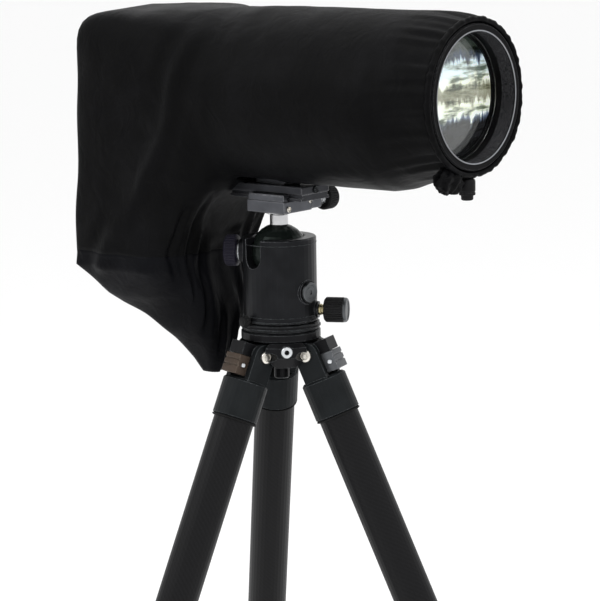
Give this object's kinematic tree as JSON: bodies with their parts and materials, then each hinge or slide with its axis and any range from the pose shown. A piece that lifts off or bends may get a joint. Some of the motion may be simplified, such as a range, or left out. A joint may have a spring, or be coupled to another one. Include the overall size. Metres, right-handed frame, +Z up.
{
  "type": "camera with telephoto lens in a rain cover on a tripod",
  "caption": "Camera and telephoto lens under a black rain cover, on a ball head with a dovetail clamp and a folding carbon tripod.",
  "frame": {"origin": "on the floor, under the middle of the object's bounding box, which is the middle of the box round the three feet", "axes": "+Z up, -Y the way the lens points, +X to the right of someone facing the front of the lens from behind the object's -Y side (the clamp knob's side)"},
  "size_m": [0.479, 0.4886, 0.8765],
  "materials": {
    "black_anodised": "satin black anodised",
    "yoke_casting": "dark powder-coated casting",
    "carbon_tube": "dark carbon-fibre tube",
    "lock_rubber": "ribbed rubber grip",
    "foot_rubber": "worn black rubber",
    "bolt_steel": "bright steel",
    "socket_steel": "bright steel",
    "bronze_tab": "worn bronze-brown casting",
    "grey_tab": "worn grey casting",
    "knob_black": "black ribbed knob",
    "knob_blue_black": "blue-black rubber knob",
    "dial_silver": "silver dial",
    "ball_dark": "dark hard-anodised ball",
    "neck_steel": "bright turned steel",
    "clamp_grey": "grey anodised",
    "lens_black": "black satin paint",
    "grip_rubber": "ribbed rubber",
    "front_glass": "coated glass",
    "camera_black": "black grained plastic",
    "screen_black": "glossy display",
    "cover_nylon": "black waterproof nylon"
  },
  "bodies": {
    "tripod_top": {"apex": "black_anodised", "platform": "black_anodised", "platform_screw": "black_anodised", "accessory_socket": "socket_steel", "left_pivot_bolt": "bolt_steel", "middle_pivot_bolt": "bolt_steel", "right_pivot_bolt": "bolt_steel", "pan_base": "black_anodised"},
    "base_knob": {"base_knob": "knob_black"},
    "left_leg": {"left_yoke": "yoke_casting", "left_upper_tube": "carbon_tube"},
    "left_angle_stop": {"left_angle_stop": "bronze_tab"},
    "left_upper_lock": {"left_upper_lock": "lock_rubber"},
    "left_middle_section": {"left_middle_tube": "carbon_tube"},
    "left_lower_lock": {"left_lower_lock": "lock_rubber"},
    "left_lower_section": {"left_lower_tube": "carbon_tube", "left_foot": "foot_rubber"},
    "middle_leg": {"middle_yoke": "yoke_casting", "middle_upper_tube": "carbon_tube"},
    "middle_angle_stop": {"middle_angle_stop": "bronze_tab"},
    "middle_upper_lock": {"middle_upper_lock": "lock_rubber"},
    "middle_middle_section": {"middle_middle_tube": "carbon_tube"},
    "middle_lower_lock": {"middle_lower_lock": "lock_rubber"},
    "middle_lower_section": {"middle_lower_tube": "carbon_tube", "middle_foot": "foot_rubber"},
    "right_leg": {"right_yoke": "yoke_casting", "right_upper_tube": "carbon_tube"},
    "right_angle_stop": {"right_angle_stop": "grey_tab"},
    "right_upper_lock": {"right_upper_lock": "lock_rubber"},
    "right_middle_section": {"right_middle_tube": "carbon_tube"},
    "right_lower_lock": {"right_lower_lock": "lock_rubber"},
    "right_lower_section": {"right_lower_tube": "carbon_tube", "right_foot": "foot_rubber"},
    "housing": {"housing": "black_anodised"},
    "main_lock_knob": {"main_lock_knob": "knob_blue_black"},
    "friction_dial": {"friction_dial": "dial_silver"},
    "pan_lock_knob": {"pan_lock_knob": "knob_black"},
    "ball": {"ball": "ball_dark"},
    "ball_neck": {"ball_neck": "neck_steel"},
    "clamp": {"clamp_body": "clamp_grey"},
    "clamp_jaw": {"clamp_jaw": "clamp_grey"},
    "clamp_knob": {"clamp_knob": "knob_black"},
    "lens_mount": {"lens_foot": "black_anodised", "tripod_collar": "lens_black"},
    "collar_lock_knob": {"collar_lock_knob": "knob_black"},
    "lens": {"lens_barrel": "lens_black", "front_barrel": "lens_black", "front_glass": "front_glass", "lens_bayonet": "socket_steel", "camera_body": "camera_black", "rear_screen": "screen_black", "eyecup": "grip_rubber", "cover_sleeve": "cover_nylon", "cover_back": "cover_nylon", "cover_skirt": "cover_nylon", "cover_front_hem": "cover_nylon", "cord_lock": "camera_black"},
    "focus_ring": {"focus_ring": "grip_rubber"},
    "shutter_button": {"shutter_button": "camera_black"},
    "cord_lock_button": {"cord_lock_button": "camera_black"}
  },
  "joints": [
    {"name": "left_leg_fold", "type": "hinge", "parent": "tripod_top", "child": "left_leg", "pos_m": [0.01099, 0.03658, 0.56901], "axis": [-0.2207, -0.9753, 0], "range_deg": [0, 23]},
    {"name": "left_angle_stop_pull", "type": "slide", "parent": "left_leg", "child": "left_angle_stop", "axis": [-0.8951, 0.2025, 0.3971], "range_m": [0, 0.005], "stiffness_N_per_m": 300},
    {"name": "left_upper_lock_turn", "type": "hinge", "parent": "left_leg", "child": "left_upper_lock", "pos_m": [0.01099, 0.03658, 0.56901], "axis": [-0.3874, 0.0876, -0.9178], "range_deg": [0, 90]},
    {"name": "left_middle_slide", "type": "slide", "parent": "left_leg", "child": "left_middle_section", "axis": [-0.3874, 0.0876, -0.9178], "range_m": [0, 0.36]},
    {"name": "left_lower_lock_turn", "type": "hinge", "parent": "left_middle_section", "child": "left_lower_lock", "pos_m": [0.01099, 0.03658, 0.56901], "axis": [-0.3874, 0.0876, -0.9178], "range_deg": [0, 90]},
    {"name": "left_lower_slide", "type": "slide", "parent": "left_middle_section", "child": "left_lower_section", "axis": [-0.3874, 0.0876, -0.9178], "range_m": [0, 0.36]},
    {"name": "middle_leg_fold", "type": "hinge", "parent": "tripod_top", "child": "middle_leg", "pos_m": [0.06062, 0.05199, 0.56901], "axis": [-0.7343, 0.6788, 0], "range_deg": [0, 23]},
    {"name": "middle_angle_stop_pull", "type": "slide", "parent": "middle_leg", "child": "middle_angle_stop", "axis": [0.623, 0.6739, 0.3971], "range_m": [0, 0.005], "stiffness_N_per_m": 300},
    {"name": "middle_upper_lock_turn", "type": "hinge", "parent": "middle_leg", "child": "middle_upper_lock", "pos_m": [0.06062, 0.05199, 0.56901], "axis": [0.2696, 0.2916, -0.9178], "range_deg": [0, 90]},
    {"name": "middle_middle_slide", "type": "slide", "parent": "middle_leg", "child": "middle_middle_section", "axis": [0.2696, 0.2916, -0.9178], "range_m": [0, 0.36]},
    {"name": "middle_lower_lock_turn", "type": "hinge", "parent": "middle_middle_section", "child": "middle_lower_lock", "pos_m": [0.06062, 0.05199, 0.56901], "axis": [0.2696, 0.2916, -0.9178], "range_deg": [0, 90]},
    {"name": "middle_lower_slide", "type": "slide", "parent": "middle_middle_section", "child": "middle_lower_section", "axis": [0.2696, 0.2916, -0.9178], "range_m": [0, 0.36]},
    {"name": "right_leg_fold", "type": "hinge", "parent": "tripod_top", "child": "right_leg", "pos_m": [0.04915, 0.00131, 0.56901], "axis": [0.955, 0.2965, 0], "range_deg": [0, 23]},
    {"name": "right_angle_stop_pull", "type": "slide", "parent": "right_leg", "child": "right_angle_stop", "axis": [0.2722, -0.8765, 0.3971], "range_m": [0, 0.005], "stiffness_N_per_m": 300},
    {"name": "right_upper_lock_turn", "type": "hinge", "parent": "right_leg", "child": "right_upper_lock", "pos_m": [0.04915, 0.00131, 0.56901], "axis": [0.1178, -0.3793, -0.9178], "range_deg": [0, 90]},
    {"name": "right_middle_slide", "type": "slide", "parent": "right_leg", "child": "right_middle_section", "axis": [0.1178, -0.3793, -0.9178], "range_m": [0, 0.36]},
    {"name": "right_lower_lock_turn", "type": "hinge", "parent": "right_middle_section", "child": "right_lower_lock", "pos_m": [0.04915, 0.00131, 0.56901], "axis": [0.1178, -0.3793, -0.9178], "range_deg": [0, 90]},
    {"name": "right_lower_slide", "type": "slide", "parent": "right_middle_section", "child": "right_lower_section", "axis": [0.1178, -0.3793, -0.9178], "range_m": [0, 0.36]},
    {"name": "head_pan", "type": "hinge", "parent": "tripod_top", "child": "housing", "pos_m": [0.04025, 0.02996, 0.59451], "axis": [0, 0, 1], "continuous": true},
    {"name": "base_knob_turn", "type": "hinge", "parent": "housing", "child": "base_knob", "pos_m": [0.04025, 0.02996, 0.59991], "axis": [-0.9659, 0.2588, 0], "range_deg": [0, 360]},
    {"name": "main_lock_turn", "type": "hinge", "parent": "housing", "child": "main_lock_knob", "pos_m": [0.04025, 0.02996, 0.65901], "axis": [-0.4617, 0.887, 0], "range_deg": [0, 270]},
    {"name": "friction_dial_turn", "type": "hinge", "parent": "housing", "child": "friction_dial", "pos_m": [0.04025, 0.02996, 0.62501], "axis": [-0.0393, -0.9992, 0], "range_deg": [0, 270]},
    {"name": "pan_lock_turn", "type": "hinge", "parent": "housing", "child": "pan_lock_knob", "pos_m": [0.04025, 0.02996, 0.60701], "axis": [0.454, -0.891, 0], "range_deg": [0, 360]},
    {"name": "ball_tilt", "type": "hinge", "parent": "housing", "child": "ball", "pos_m": [0.04025, 0.02996, 0.65801], "axis": [1, 0, 0], "range_deg": [-32, 32], "deforming": ["cover_skirt"]},
    {"name": "ball_roll", "type": "hinge", "parent": "ball", "child": "ball_neck", "pos_m": [0.04025, 0.02996, 0.65801], "axis": [0, 1, 0], "range_deg": [-15, 15]},
    {"name": "ball_turn", "type": "hinge", "parent": "ball_neck", "child": "clamp", "pos_m": [0.04025, 0.02996, 0.65801], "axis": [0, 0, 1], "continuous": true},
    {"name": "jaw_slide", "type": "slide", "parent": "clamp", "child": "clamp_jaw", "axis": [1, 0, 0], "range_m": [0, 0.003]},
    {"name": "clamp_knob_turn", "type": "hinge", "parent": "clamp_jaw", "child": "clamp_knob", "pos_m": [0.04025, 0.01896, 0.70201], "axis": [1, 0, 0], "range_deg": [0, 720]},
    {"name": "foot_slide", "type": "slide", "parent": "clamp", "child": "lens_mount", "axis": [0, 1, 0], "range_m": [-0.012, 0.012]},
    {"name": "collar_lock_turn", "type": "hinge", "parent": "lens_mount", "child": "collar_lock_knob", "pos_m": [0.04025, 0.02996, 0.80621], "axis": [0.8192, 0, -0.5736], "range_deg": [0, 360]},
    {"name": "barrel_turn", "type": "hinge", "parent": "lens_mount", "child": "lens", "pos_m": [0.04025, 0.02996, 0.80621], "axis": [0, 1, 0], "range_deg": [-8, 8]},
    {"name": "focus_turn", "type": "hinge", "parent": "lens", "child": "focus_ring", "pos_m": [0.04025, 0.02996, 0.80621], "axis": [0, 1, 0], "continuous": true},
    {"name": "shutter_press", "type": "slide", "parent": "lens", "child": "shutter_button", "axis": [0, 0, -1], "range_m": [0, 0.0018], "stiffness_N_per_m": 400},
    {"name": "cord_lock_press", "type": "slide", "parent": "lens", "child": "cord_lock_button", "axis": [0, 0, 1], "range_m": [0, 0.0035], "stiffness_N_per_m": 300}
  ],
  "couplings": [
    {"joint": "clamp_knob_turn", "follows": "jaw_slide", "rad_per_m": 4188.8}
  ]
}
